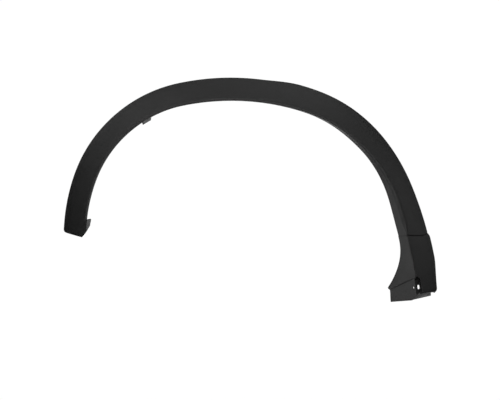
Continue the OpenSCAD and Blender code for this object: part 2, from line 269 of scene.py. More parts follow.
@dataclass(frozen=True)
class Band:
    """Sizes of the moulding's cross-section and of its features along the lip."""

    lip: LipLine = field(default_factory=LipLine)
    wall: float = 2.6
    # Outer face and the edge that meets the wing
    width_front_end: float = 54.5
    width_crown: float = 60.5
    width_shoulder: float = 66.5
    width_leg: float = 61.5
    width_above_step: float = 64.5
    width_foot: float = 70
    width_foot_end: float = 62
    shoulder_from: float = 0.3
    shoulder_full: float = 0.8
    shoulder_wide_run: float = 60
    shoulder_narrow_run: float = 36
    edge_setback: float = 10
    face_bulge: float = 1.6
    edge_radius: float = 2
    inner_edge_radius: float = 0.4
    edge_wall_depth: float = 6
    # Rounded lip
    lip_radius: float = 7
    leg_lip_radius: float = 15
    leg_lip_end: float = 40
    foot_lip_radius: float = 4
    # Return flange, which runs out into the foot panel
    flange_depth: float = 15
    flange_lean: float = 0
    shoulder_flange_depth: float = 26
    shoulder_flange_lean: float = 8
    leg_flange_depth: float = 39.5
    leg_flange_lean: float = 18
    foot_flange_depth: float = 118
    foot_flange_lean: float = 24
    foot_power: float = 2.6
    foot_regain: float = 3
    tip_lead: float = 6
    tip_loss: float = 5
    tip_run: float = 9
    kink_share: float = 0.7
    # Front end
    end_tab_height: float = 45
    end_tab_depth: float = 44
    end_tab_lean: float = 20
    end_notch_length: float = 23
    end_notch_depth: float = 9
    end_slope: float = 0.22
    end_corner_radius: float = 5
    end_tab_slope: float = 0.38
    end_tab_top_slope: float = 0.13
    front_corner: float = 11
    front_corner_slope: float = 1.3
    # Liner tab on the front shoulder
    liner_tab_place: float = 342
    liner_tab_width: float = 26
    liner_tab_reach: float = 20
    liner_tab_lean: float = 18
    tab_corner_radius: float = 3
    # Step across the rear leg
    step_height: float = 163
    step_depth: float = 2.6
    step_run: float = 3
    step_flare: float = 14
    step_slope: float = 0.3
    bottom_rise: float = 0.05
    step_corner: float = 40
    step_corner_radius: float = 30
    step_blend: float = 72
    panel_blend: float = 48
    corner_blend: float = 30
    # Foot, with its set-back panel, screw pocket and bottom wall
    joggle_height: float = 47
    joggle_depth: float = 2.4
    joggle_run: float = 2.5
    pocket_width: float = 11.5
    pocket_depth: float = 11
    pocket_run: float = 7
    pocket_corner_radius: float = 1.6
    pocket_rounding: float = 0.35
    panel_slope: float = 0.28
    panel_end_slope: float = 0.03
    bottom_wall_depth: float = 32
    bottom_wall_slope: float = 0.58
    foot_corner_radius: float = 9
    # Shortest run along the lip, rounding of the rims, and spacing of the two clips at the crown
    sharp: float = 1
    rim_radius: float = 0.7
    least_rim_radius: float = 0.05
    crown_clip_spacing: float = 150
    # Steps across one skin of the section
    edge_steps: int = 4
    face_steps: int = 8
    lip_steps: int = 16
    flange_steps: int = 4
    tip_steps: int = 5

    @property
    def front_end(self) -> float:
        """Place of the front end."""
        return -self.lip.front_length

    @property
    def foot_end(self) -> float:
        """Place of the bottom of the foot."""
        return self.lip.rear_length

    @property
    def tab_top(self) -> float:
        """Place of the end tab's top."""
        return self.front_end + self.end_tab_height

    @property
    def notch_top(self) -> float:
        """Place of the end notch's top."""
        return self.tab_top + self.end_notch_length

    @property
    def liner_tab(self) -> Pair:
        """Places of the liner tab's two sides."""
        start = self.front_end + self.liner_tab_place
        return start, start + self.liner_tab_width

    @property
    def crown(self) -> float:
        """Place where the crown's rear arc ends."""
        return self.lip.rear[0].length

    @property
    def shoulder_middle(self) -> float:
        """Place of the middle of the rear shoulder."""
        return self.crown + self.lip.rear[1].length / 2

    @property
    def shoulder_end(self) -> float:
        """Place where the rear shoulder ends."""
        return self.crown + self.lip.rear[1].length

    @property
    def step_at(self) -> float:
        """Place of the step."""
        return self.foot_end - self.step_height

    @property
    def tip_at(self) -> float:
        """Place of the foot panel's tip."""
        return self.joggle_at - self.tip_lead

    @property
    def joggle_at(self) -> float:
        """Place of the joggle in the foot panel."""
        return self.foot_end - self.joggle_height

    @property
    def bite(self) -> float:
        """How deep pieces moulded together reach into one another."""
        return self.wall / 2

    @property
    def seat_plane(self) -> float:
        """Depth at which the clip seats and the outer edge meet the wing."""
        return self.edge_setback + self.edge_wall_depth

    @property
    def clip_line(self) -> float:
        """Distance of the crown clips from the lip."""
        return self.width_crown / 2

    @property
    def crown_clip_angle(self) -> float:
        """Angle about the crown's centre from the crown to a crown clip, in radians."""
        return math.asin(self.crown_clip_spacing / 2 / (self.lip.rear[0].radius + self.clip_line))

    @property
    def origin(self) -> Vector:
        """The frame's origin.

        Returns:
            The point midway between the crown clip holes, in millimetres.
        """
        radius = self.lip.rear[0].radius
        height = (radius + self.clip_line) * math.cos(self.crown_clip_angle) - radius
        return Vector((0, self.seat_plane, height))

    def width_at(self, s: float) -> float:
        """Width of the outer face.

        Args:
            s: Place along the trim.

        Returns:
            The width there.
        """
        width = along(s, (
            (self.front_end, self.width_front_end),
            (0, self.width_crown),
            (self.crown * self.shoulder_from, self.width_crown),
            (self.crown * self.shoulder_full, self.width_shoulder),
            (self.crown + self.shoulder_wide_run, self.width_shoulder),
            (self.shoulder_end - self.shoulder_narrow_run, self.width_leg),
            (self.step_at, self.width_above_step),
            (self.step_at + self.step_flare, self.width_foot),
            (self.joggle_at - self.joggle_height, self.width_foot),
            (self.foot_end, self.width_foot_end),
        ))
        foot_loss = corner_loss(self.foot_end - s, self.foot_corner_radius)
        end_loss = corner_loss(s - self.front_end, self.end_corner_radius)
        return width - foot_loss - end_loss

    def in_tab(self, s: float) -> bool:
        """Whether the end tab is at s."""
        return s < self.tab_top + self.sharp / 2

    def in_notch(self, s: float) -> bool:
        """Whether the end notch is at s."""
        return not self.in_tab(s) and s < self.notch_top + self.sharp / 2

    def in_liner_tab(self, s: float) -> bool:
        """Whether the liner tab is at s."""
        start, end = self.liner_tab
        return start + self.sharp / 2 < s < end - self.sharp / 2

    def depth_at(self, s: float) -> float:
        """Depth of the flange.

        Args:
            s: Place along the trim.

        Returns:
            The depth from the lip to the flange's rim.
        """
        if self.in_tab(s):
            top = corner_loss(self.tab_top - s, self.tab_corner_radius)
            bottom = corner_loss(s - self.front_end, self.tab_corner_radius)
            return self.end_tab_depth - top - bottom
        if self.in_notch(s):
            return self.end_notch_depth
        depth = along(s, (
            (0, self.flange_depth),
            (self.crown * self.shoulder_full, self.flange_depth),
            (self.shoulder_middle, self.shoulder_flange_depth),
            (self.step_at, self.leg_flange_depth),
        ))
        part = min(1.0, max(0.0, (s - self.step_at) / (self.tip_at - self.step_at)))
        depth += (self.foot_flange_depth - self.leg_flange_depth) * part ** self.foot_power
        depth -= self.tip_loss * between(s, self.tip_at, self.tip_at + self.tip_run)
        depth += self.foot_regain * between(s, self.tip_at, self.foot_end)
        if self.in_liner_tab(s):
            start, end = self.liner_tab
            inset = min(s - start, end - s) - self.sharp
            depth += self.liner_tab_reach - corner_loss(max(0.0, inset), self.tab_corner_radius)
        return depth

    def lean_at(self, s: float) -> float:
        """Lean of the flange toward the wheel.

        Args:
            s: Place along the trim.

        Returns:
            The lean in degrees.
        """
        if self.in_tab(s):
            return self.end_tab_lean
        return along(s, (
            (0, self.flange_lean),
            (self.crown * self.shoulder_full, self.flange_lean),
            (self.shoulder_middle, self.shoulder_flange_lean),
            (self.step_at, self.leg_flange_lean),
            (self.joggle_at, self.foot_flange_lean),
        ))

    def radius_at(self, s: float) -> float:
        """Radius of the lip.

        Args:
            s: Place along the trim.

        Returns:
            The radius there.
        """
        if self.in_tab(s):
            return self.foot_lip_radius
        return along(s, (
            (self.shoulder_middle, self.lip_radius),
            (self.step_at - self.leg_lip_end, self.leg_lip_radius),
            (self.step_at, self.foot_lip_radius),
        ))

    def kink_at(self, s: float, depth: float) -> float:
        """Depth of the bend across the flange.

        Args:
            s: Place along the trim.
            depth: Depth of the flange there.

        Returns:
            The depth from the lip to the bend.
        """
        if self.in_notch(s):
            return self.end_notch_depth - self.sharp
        if self.in_liner_tab(s):
            depth -= self.liner_tab_reach
        return min(self.bottom_wall_depth, depth * self.kink_share)

    def slice_at(self, s: float) -> Slice:
        """Section at one place.

        Args:
            s: Place along the trim.

        Returns:
            The section's sizes there.
        """
        x, z, heading = self.lip.at(s)
        lean = self.lean_at(s)
        depth = self.depth_at(s)
        return Slice(
            s=s, x=x, z=z, heading=math.radians(heading),
            width=self.width_at(s),
            recess=self.step_depth * between(s, self.step_at, self.step_at + self.step_run),
            radius=self.radius_at(s),
            depth=depth,
            lean=lean,
            tip_lean=self.liner_tab_lean if self.in_liner_tab(s) else lean,
            kink=self.kink_at(s, depth),
            pocket=between(s, self.joggle_at, self.joggle_at + self.pocket_run),
            joggle=self.joggle_depth * between(s, self.joggle_at, self.joggle_at + self.joggle_run),
            setback=self.edge_setback,
            bulge=self.face_bulge,
        )

    def drift(self, s: float, u: float, v: float) -> float:
        """How far a point of the section is carried along the lip, to slope ends and steps.

        Args:
            s: Place along the trim.
            u: Distance of the point across the band.
            v: Depth of the point.

        Returns:
            The distance along the lip's heading.
        """
        deep = max(0.0, v)
        front = 1 - between(s, self.front_end, self.tab_top)
        step = between(s, self.step_at - self.step_blend, self.step_at)
        down_foot = between(s, self.step_at, self.joggle_at)
        slope = self.step_slope - (self.bottom_rise + self.step_slope) * down_foot
        rounding = step * (1 - between(s, self.step_at, self.step_at + self.corner_blend))
        panel = between(s, self.step_at - self.panel_blend, self.joggle_at)
        end = between(s, self.joggle_at, self.foot_end)
        moved = front * self.end_slope * max(0.0, u - self.front_corner)
        moved += front * self.front_corner_slope * max(0.0, self.front_corner - max(0.0, u))
        moved += front * self.end_tab_slope * v
        if self.in_tab(s):
            moved += (1 - front) * self.end_tab_top_slope * max(0.0, v - self.end_notch_depth)
        moved += step * slope * u
        moved -= rounding * max(0.0, u - self.step_corner) ** 2 / (2 * self.step_corner_radius)
        moved += panel * self.panel_slope * deep
        moved += end * (self.bottom_wall_slope - self.panel_slope) * min(deep, self.bottom_wall_depth)
        moved -= end * (self.panel_slope - self.panel_end_slope) * max(0.0, v - self.bottom_wall_depth)
        return moved

    def place(self, cut: Slice, point: Sequence[float]) -> Vector:
        """Point in the frame.

        Args:
            cut: The section that the point belongs to.
            point: The point's u and v.

        Returns:
            The point in metres.
        """
        u, v = point
        moved = self.drift(cut.s, u, v)
        sine = math.sin(cut.heading)
        cosine = math.cos(cut.heading)
        x = cut.x - u * sine + moved * cosine
        z = cut.z + u * cosine + moved * sine
        return (Vector((x, self.lip.plan(x) + v, z)) - self.origin) * MM

    def lip_fillet(self, cut: Slice, inset: float, share: float) -> Vector:
        """Point of the rounded lip.

        Args:
            cut: The section.
            inset: Depth of the point below the outer skin.
            share: Share of the way from the face to the flange.

        Returns:
            The point's u and v.
        """
        a = cut.face_angle
        b = cut.lean
        run = cut.radius / math.tan(math.radians((90 + b - a) / 2))
        centre = run * ray(a) + cut.radius * ray(90 + a) + Vector((0, cut.recess))
        return centre + (cut.radius - inset) * ray(-90 + a - share * (90 - b + a))

    def pocket_wall(self, cut: Slice, inset: float, share: float) -> Vector:
        """Point of the screw pocket, which takes the lip's place in the foot.

        Args:
            cut: The section.
            inset: Depth of the point below the outer skin.
            share: Share of the way from the face to the flange. Half of it goes down the side.

        Returns:
            The point's u and v.
        """
        width = self.pocket_width + inset
        depth = self.pocket_depth + inset
        radius = self.pocket_corner_radius
        mouth = Vector((width, cut.face(width) + inset))
        heel = Vector((width, depth))
        middle = Vector((width / 2, depth))
        foot = cut.inward * (inset + cut.joggle) + cut.back * (depth + self.bite)
        if share < 0.5:
            point = mouth.lerp(heel, share * 2)
        elif share < 0.75:
            point = heel.lerp(middle, share * 4 - 2)
        else:
            point = middle.lerp(foot, share * 4 - 3)
        near = max(0.0, radius - (point - heel).length)
        return point + Vector((-1, -1)).normalized() * near * near / radius * self.pocket_rounding

    def skin(self, cut: Slice, inset: float) -> list[Vector]:
        """One skin of the section.

        Args:
            cut: The section.
            inset: Depth of the skin below the outer one.

        Returns:
            Points from the outer edge's rim over the lip to the rim of the flange.
        """
        outer = cut.width - inset
        level = cut.face(cut.width) + inset
        radius = max(self.edge_radius - inset, self.inner_edge_radius)
        rim = Vector((outer, cut.face(cut.width) + self.edge_wall_depth))
        bend = Vector((outer, level + radius))
        points = [rim, rim.lerp(bend, 0.5)]
        for share in spread(self.edge_steps):
            points.append(Vector((outer - radius, level + radius)) + radius * ray(-90 * share))
        start = points[-1].x
        pocket_side = self.pocket_width + self.wall + self.sharp
        near = self.front_corner + (pocket_side - self.front_corner) * cut.pocket
        for share in spread(self.face_steps)[1:]:
            u = start + (near - start) * share
            points.append(Vector((u, cut.face(u) + inset)))
        for share in spread(self.lip_steps):
            rounded = self.lip_fillet(cut, inset, share)
            points.append(rounded.lerp(self.pocket_wall(cut, inset, share), cut.pocket))
        base = Vector((0, cut.recess)) + cut.inward * (inset + cut.joggle)
        kink = base + cut.back * cut.kink
        tip = kink + ray(90 + cut.tip_lean) * (cut.depth - cut.kink)
        tip += (ray(cut.tip_lean) - cut.inward) * inset
        start = points[-1]
        points += [start.lerp(kink, share) for share in spread(self.flange_steps)[1:]]
        points += [kink.lerp(tip, share) for share in spread(self.tip_steps)[1:]]
        return points

    def ring(self, s: float, shrink: float = 0.0) -> list[Vector]:
        """The section as a closed ring with rounded rims.

        Args:
            s: Place along the trim.
            shrink: How far the ring is drawn in all round.

        Returns:
            Points in metres, the outer skin's first.
        """
        cut = self.slice_at(s)
        outer = self.skin(cut, shrink)
        inner = self.skin(cut, self.wall - shrink)
        flange_rim = self.rounded_rim(outer[-1], inner[-1], ray(90 + cut.tip_lean), shrink)
        edge_rim = self.rounded_rim(inner[0], outer[0], Vector((0, 1)), shrink)
        section = outer[1:-1] + flange_rim + inner[-2:0:-1] + edge_rim
        return [self.place(cut, point) for point in section]

    def rounded_rim(self, start: Vector, end: Vector, out: Vector, shrink: float) -> list[Vector]:
        """Rim between the two skins, rounded on both sides.

        Args:
            start: Corner that the rim starts from.
            end: Corner that it goes to.
            out: Direction in which the rim faces.
            shrink: How far the rim is drawn in.

        Returns:
            The rim's points, in order.
        """
        across = (end - start).normalized()
        radius = max(self.least_rim_radius, self.rim_radius - shrink)
        top = -out * shrink
        first = []
        second = []
        for angle in QUARTER_TURN:
            sine, cosine = sine_cosine(angle)
            aside = across * radius * (1 - cosine)
            down = out * radius * (1 - sine)
            first.append(start + top + aside - down)
            second.append(end + top - aside - down)
        return first + second[::-1]

    def stations(self, pitch: float = 4.0, fine: float = 0.7, lead: float = 1) -> list[float]:
        """Places of the rings, closer together at each feature.

        Args:
            pitch: Longest distance between rings.
            fine: Distance between rings at a feature.
            lead: How far the fine rings reach beyond the step and the foot's features.

        Returns:
            The places, in order.
        """
        liner_start, liner_end = self.liner_tab
        corner = self.tab_corner_radius
        flare_start = self.step_at - self.step_flare
        step_end = self.step_at + self.step_run + lead
        plain_marks = [self.front_end, liner_start, liner_end, 0.0, flare_start, self.foot_end]
        fine_runs = [
            (self.front_end, self.front_end + self.end_corner_radius),
            (self.tab_top - corner, self.tab_top),
            (liner_start + self.sharp, liner_start + self.sharp + corner),
            (liner_end - self.sharp - corner, liner_end - self.sharp),
            (self.step_at - lead, step_end),
            (step_end, self.step_at + self.step_flare),
            (self.tip_at - lead, self.joggle_at + self.pocket_run + lead),
            (self.foot_end - self.foot_corner_radius, self.foot_end),
        ]
        sharp_marks = [self.tab_top + self.sharp, self.notch_top, self.notch_top + self.sharp]
        marks = sorted({*plain_marks, *sharp_marks, *(end for run in fine_runs for end in run)})
        places = []
        for start, end in zip(marks, marks[1:]):
            middle = (start + end) / 2
            step = fine if any(low < middle < high for low, high in fine_runs) else pitch
            count = max(1, math.ceil((end - start) / step - ROUNDING_ERROR))
            places += [start + (end - start) * k / count for k in range(count)]
        return places + [marks[-1]]


def linked(name: str, data: bpy.types.ID) -> bpy.types.Object:
    """Link new data into the scene.

    Args:
        name: Name of the object.
        data: The mesh, lamp or camera.

    Returns:
        The object that shows it.
    """
    made = bpy.data.objects.new(name, data)
    bpy.context.scene.collection.objects.link(made)
    return made


def solid(name: str, points: Sequence[Vector], faces: Sequence[Sequence[int]]) -> bpy.types.Object:
    """Make an object from points and faces, with its faces turned outward.

    Args:
        name: Name of the object.
        points: Its points, in metres.
        faces: Its faces, as indices of points.

    Returns:
        The object, linked into the scene.
    """
    mesh = bpy.data.meshes.new(name)
    mesh.from_pydata([tuple(point) for point in points], [], faces)
    work = bmesh.new()
    work.from_mesh(mesh)
    bmesh.ops.remove_doubles(work, verts=work.verts, dist=SAME_POINT)
    bmesh.ops.recalc_face_normals(work, faces=work.faces)
    if work.calc_volume(signed=True) < 0:
        bmesh.ops.reverse_faces(work, faces=work.faces)
    work.to_mesh(mesh)
    work.free()
    return linked(name, mesh)


def prism(name: str, first: Sequence[Vector], second: Sequence[Vector]) -> bpy.types.Object:
    """Make the solid between two equal outlines.

    Args:
        name: Name of the object.
        first: Points of one outline, in metres.
        second: Points of the other.

    Returns:
        The object.
    """
    count = len(first)
    sides = [(i, (i + 1) % count, count + (i + 1) % count, count + i) for i in range(count)]
    return solid(name, [*first, *second], [tuple(range(count)), tuple(range(count, 2 * count)), *sides])


def merge(name: str, parts: Sequence[bpy.types.Object]) -> bpy.types.Object:
    """Gather separate solids into one object.

    Args:
        name: Name of the object.
        parts: Solids that don't overlap. They are used up.

    Returns:
        The object that holds them all.
    """
    work = bmesh.new()
    for part in parts:
        work.from_mesh(part.data)
        discard(part)
    mesh = bpy.data.meshes.new(name)
    work.to_mesh(mesh)
    work.free()
    return linked(name, mesh)


def discard(used: bpy.types.Object) -> None:
    """Remove a solid that has been used up.

    Args:
        used: The solid. Its mesh goes with it.
    """
    mesh = used.data
    bpy.data.objects.remove(used)
    bpy.data.meshes.remove(mesh)


def settle(work: bpy.types.Object) -> None:
    """Apply an object's modifiers.

    Args:
        work: The object. What its modifiers give becomes its own mesh.
    """
    bpy.context.view_layer.update()
    graph = bpy.context.evaluated_depsgraph_get()
    mesh = bpy.data.meshes.new_from_object(work.evaluated_get(graph))
    old = work.data
    work.modifiers.clear()
    work.data = mesh
    bpy.data.meshes.remove(old)


def combine(base: bpy.types.Object, tool: bpy.types.Object, how: Joining) -> None:
    """Join a solid to another or cut it out.

    Args:
        base: The solid that is changed.
        tool: The solid that is joined or cut out. It is used up.
        how: What is done.
    """
    step = base.modifiers.new(how.name, "BOOLEAN")
    step.operation = how.value
    step.solver = "MANIFOLD"
    step.object = tool
    settle(base)
    discard(tool)


def soften(work: bpy.types.Object, width: float, segments: int = 2, least_angle: float = 40) -> None:
    """Round the edges of a solid.

    Args:
        work: The solid.
        width: Width of the rounding, in millimetres.
        segments: Number of faces across it.
        least_angle: Angle from which an edge is rounded, in degrees.
    """
    step = work.modifiers.new("rounding", "BEVEL")
    step.width = width * MM
    step.segments = segments
    step.limit_method = "ANGLE"
    step.angle_limit = math.radians(least_angle)
    settle(work)


@dataclass(frozen=True)
class SweptWall:
    """The moulding's swept wall: outer face, lip, return flange, tabs and foot panel."""

    band: Band

    def build(self) -> bpy.types.Object:
        """Sweep the sections into one closed wall.

        Returns:
            The wall.
        """
        radius = self.band.rim_radius
        places = self.band.stations()
        middle = [self.band.ring(s) for s in places if places[0] + radius < s < places[-1] - radius]
        front = self.rounded_end(places[0], 1)
        rear = self.rounded_end(places[-1], -1)
        rings = [*front, *middle, *reversed(rear)]
        count = len(rings[0])
        points = [point for ring in rings for point in ring]
        last = len(points) - count
        faces = [*self.end_faces(0, count), *self.end_faces(last, count)]
        for a in range(0, last, count):
            b = a + count
            faces += [(a + j, a + (j + 1) % count, b + (j + 1) % count, b + j) for j in range(count)]
        return solid("swept_wall", points, faces)

    def rounded_end(self, end: float, toward: int) -> list[list[Vector]]:
        """Rings that round one end.

        Args:
            end: Place of the end.
            toward: 1 if the moulding lies rearward of it, or -1 if it lies forward.

        Returns:
            The rings, from the end inward.
        """
        radius = self.band.rim_radius
        rings = []
        for angle in QUARTER_TURN[:-1]:
            sine, cosine = sine_cosine(angle)
            rings.append(self.band.ring(end + toward * radius * (1 - cosine), radius * (1 - sine)))
        return rings

    def end_faces(self, base: int, count: int) -> list[tuple[int, ...]]:
        """Faces that close one end, as a strip between the skins.

        Args:
            base: Index of the ring's first point.
            count: Number of points in the ring.

        Returns:
            The faces.
        """
        rim = len(QUARTER_TURN)
        skin = (count - 4 * rim) // 2
        flange_start = base + skin - 1
        edge_start = base + count - 2 * rim - 1
        faces = [
            tuple(range(flange_start, flange_start + 2 * rim + 2)),
            (*range(edge_start, base + count), base)]
        for j in range(skin - 1):
            a = base + j
            opposite = base + 2 * skin + 2 * rim - 1 - j
            faces.append((a, a + 1, opposite - 1, opposite))
        return faces


@dataclass(frozen=True)
class ClipPlace:
    """Where a clip seat stands: place along the trim, distance from the lip and depth of its face."""

    s: float
    u: float
    plane: float


@dataclass(frozen=True)
class ClipSeats:
    """Small boxes with keyholes behind the outer face, which hold the push-in clips."""

    band: Band
    hole: float = 8
    mouth: float = 5.2
    length: float = 22
    width: float = 20
    wall: float = 2
    front_clips: int = 3
    rear_clips: int = 4
    end_margin: float = 60
    edge_rounding: float = 0.5
    hole_steps: int = 32

    def places(self) -> list[ClipPlace]:
        """Where the seats stand.

        Returns:
            The two seats at the crown, then those toward the front and those toward the rear.
        """
        band = self.band
        crown_at = band.lip.rear[0].radius * band.crown_clip_angle
        front_pitch = (band.lip.front_length - self.end_margin - crown_at) / self.front_clips
        rear_pitch = (band.lip.rear_length - self.end_margin - crown_at) / self.rear_clips
        beyond = [-crown_at - front_pitch * (i + 1) for i in range(self.front_clips)]
        beyond += [crown_at + rear_pitch * (i + 1) for i in range(self.rear_clips)]
        places = [ClipPlace(side * crown_at, band.clip_line, band.seat_plane) for side in (-1, 1)]
        for s in beyond:
            u = band.width_at(s) / 2
            x, _, heading = band.lip.at(s)
            sine, _ = sine_cosine(heading)
            places.append(ClipPlace(s, u, band.lip.plan(x - u * sine) + band.seat_plane))
        return places

    def at(self, seat: ClipPlace, a: float, b: float, depth: float) -> Vector:
        """Point beside a seat's centre.

        Args:
            seat: Where the seat stands.
            a: Distance along the arch from the centre.
            b: Distance outward across the band from the centre.
            depth: Depth of the point.

        Returns:
            The point in metres.
        """
        x, z, heading = self.band.lip.at(seat.s)
        sine, cosine = sine_cosine(heading)
        across = seat.u + b
        point = Vector((x + a * cosine - across * sine, depth, z + a * sine + across * cosine))
        return (point - self.band.origin) * MM

    def level(self, seat: ClipPlace, outline: Sequence[Pair], depth: float) -> list[Vector]:
        """Points of an outline round a seat's centre, all at one depth."""
        return [self.at(seat, a, b, depth) for a, b in outline]

    def rectangle(self, low: Pair, high: Pair) -> list[Pair]:
        """Corners of a rectangle, in order."""
        return [(low[0], low[1]), (low[0], high[1]), (high[0], high[1]), (high[0], low[1])]

    def block(self, seat: ClipPlace) -> bpy.types.Object:
        """Solid block of one seat.

        Args:
            seat: Where the seat stands.

        Returns:
            The block, its foot sunk in the wall under it.
        """
        corners = self.rectangle((-self.length / 2, -self.width / 2), (self.length / 2, self.width / 2))
        cut = self.band.slice_at(seat.s)
        feet = []
        for a, b in corners:
            across = seat.u + b
            reach = cut.x + a * math.cos(cut.heading) - across * math.sin(cut.heading)
            depth = self.band.lip.plan(reach) + cut.face(across) + self.band.bite
            feet.append(self.at(seat, a, b, depth))
        made = prism("seat_block", feet, self.level(seat, corners, seat.plane))
        soften(made, self.edge_rounding)
        return made

    def hollow(self, seat: ClipPlace) -> bpy.types.Object:
        """Hollow of one seat.

        Args:
            seat: Where the seat stands.

        Returns:
            The solid that cuts the hollow, open toward the rear of the car.
        """
        low = (self.wall - self.length / 2, self.wall - self.width / 2)
        high = (self.length / 2 + self.wall, self.width / 2 - self.wall)
        corners = self.rectangle(low, high)
        deep = seat.plane - self.wall
        near = self.level(seat, corners, deep - self.band.seat_plane)
        return prism("seat_hollow", near, self.level(seat, corners, deep))

    def keyhole(self, seat: ClipPlace) -> bpy.types.Object:
        """Keyhole of one seat.

        Args:
            seat: Where the seat stands.

        Returns:
            The solid that cuts the keyhole, its mouth toward the hollow's open side.
        """
        start = math.degrees(math.asin(self.mouth / self.hole))
        end = self.length / 2 + self.wall
        outline = arc_points(self.hole / 2, start, 360 - 2 * start, self.hole_steps)
        outline += [(end, -self.mouth / 2), (end, self.mouth / 2)]
        near = self.level(seat, outline, seat.plane - 2 * self.wall)
        return prism("seat_keyhole", near, self.level(seat, outline, seat.plane + self.wall))

    def build(self) -> bpy.types.Object:
        """Make all the seats.

        Returns:
            The seats, as separate solids in one object.
        """
        places = self.places()
        made = merge("clip_seats", [self.block(seat) for seat in places])
        combine(made, merge("hollows", [self.hollow(seat) for seat in places]), Joining.CUT)
        combine(made, merge("keyholes", [self.keyhole(seat) for seat in places]), Joining.CUT)
        return made


@dataclass(frozen=True)
class CornerRibs:
    """Small ribs that stiffen the corner between the outer face and the flange."""

    band: Band
    thickness: float = 1.6
    reach: float = 11
    count: int = 16
    margin: float = 12
    hollow_share: float = 0.25

    def rib(self, s: float) -> bpy.types.Object:
        """One rib.

        Args:
            s: Place of its middle along the trim.

        Returns:
            The rib, sunk in the face and the flange that it joins.
        """
        band = self.band
        cut = band.slice_at(s)
        heel = Vector((cut.radius, cut.radius)) - (cut.radius - band.bite) * ray(45)
        reach = max(self.reach, cut.radius + self.thickness)
        top = Vector((reach, cut.face(reach) + band.bite))
        foot = cut.inward * band.bite + cut.back * reach
        hollow = top.lerp(foot, 0.5).lerp(heel, self.hollow_share)
        outline = [heel, top, hollow, foot]
        sides = []
        for offset in (self.thickness / 2, -self.thickness / 2):
            beside = band.slice_at(s + offset)
            sides.append([band.place(beside, point) for point in outline])
        return prism("rib", *sides)

    def build(self) -> bpy.types.Object:
        """Make all the ribs.

        Returns:
            The ribs, as separate solids in one object.
        """
        start = self.band.notch_top + self.margin
        run = self.band.step_at - self.margin - start
        return merge("ribs", [self.rib(start + run * share) for share in spread(self.count - 1)])


@dataclass(frozen=True)
class BottomWall:
    """Wall that closes the foot from below and slopes down toward the body."""

    band: Band
    gap: float = 22
    lift: float = 0.4
    flare: float = 8
    corner_radius: float = 2

    def build(self) -> bpy.types.Object:
        """Make the wall.

        Returns:
            The wall.
        """
        band = self.band
        cut = band.slice_at(band.foot_end)
        inward = cut.inward * (band.joggle_depth + band.bite)
        reach = band.width_foot_end - self.gap
        depth = band.bottom_wall_depth
        radius = self.corner_radius
        outline = [inward + cut.back * band.bite, Vector((reach, cut.face(reach) + band.bite))]
        corner = Vector((reach + self.flare - radius, depth - radius))
        outline += [corner + radius * ray(angle) for angle in QUARTER_TURN]
        outline.append(inward + cut.back * depth)
        along_lip = Vector((math.cos(cut.heading), 0, math.sin(cut.heading))) * MM
        levels = [
            [band.place(cut, point) - along_lip * lift for point in outline]
            for lift in (self.lift, self.lift + band.wall)]
        return prism("bottom_wall", *levels)


@dataclass(frozen=True)
class FootFixings:
    """Screw slot in the pocket and round locating hole in the foot panel."""

    band: Band
    slot_width: float = 6.5
    slot_height: float = 12
    locating_hole: float = 5.5
    locating_inset: float = 21
    locating_rise: float = 4
    height: float = 21
    slot_end_steps: int = 16
    hole_steps: int = 32

    def bore(self, name: str, centre: Vector, outline: Sequence[Pair], lean: float) -> bpy.types.Object:
        """Solid that cuts one hole.

        Args:
            name: Name of the object.
            centre: Centre of the hole, in metres.
            outline: The hole's outline, along the lip and across it.
            lean: Angle by which the hole is turned from the band's depth toward its width.

        Returns:
            The solid.
        """
        _, _, heading = self.band.lip.at(self.band.foot_end - self.height)
        sine, cosine = sine_cosine(heading)
        forward = Vector((cosine, 0, sine))
        outward = Vector((-sine, 0, cosine))
        inward = Vector((0, 1, 0))
        sine, cosine = sine_cosine(lean)
        across = cosine * outward + sine * inward
        half = (cosine * inward - sine * outward) * 2 * self.band.wall * MM
        base = [centre + (forward * a + across * b) * MM for a, b in outline]
        return prism(name, [point - half for point in base], [point + half for point in base])

    def build(self) -> bpy.types.Object:
        """Make the solids that cut both holes.

        Returns:
            The two solids in one object.
        """
        band = self.band
        cut = band.slice_at(band.foot_end - self.height)
        radius = self.slot_width / 2
        offset = self.slot_height / 2 - radius
        slot = arc_points(radius, -90, 180, self.slot_end_steps, offset)
        slot += arc_points(radius, 90, 180, self.slot_end_steps, -offset)
        slot_centre = band.place(cut, ((band.pocket_width + band.sharp) / 2, band.pocket_depth))
        round_hole = arc_points(self.locating_hole / 2, 0, 360, self.hole_steps)[:-1]
        cut = band.slice_at(band.foot_end - self.height - self.locating_rise)
        hole_centre = band.place(cut, cut.back * self.locating_inset + cut.inward * band.joggle_depth)
        return merge("foot_holes", [
            self.bore("screw_slot", slot_centre, slot, 0),
            self.bore("locating_hole", hole_centre, round_hole, 90 + cut.lean)])


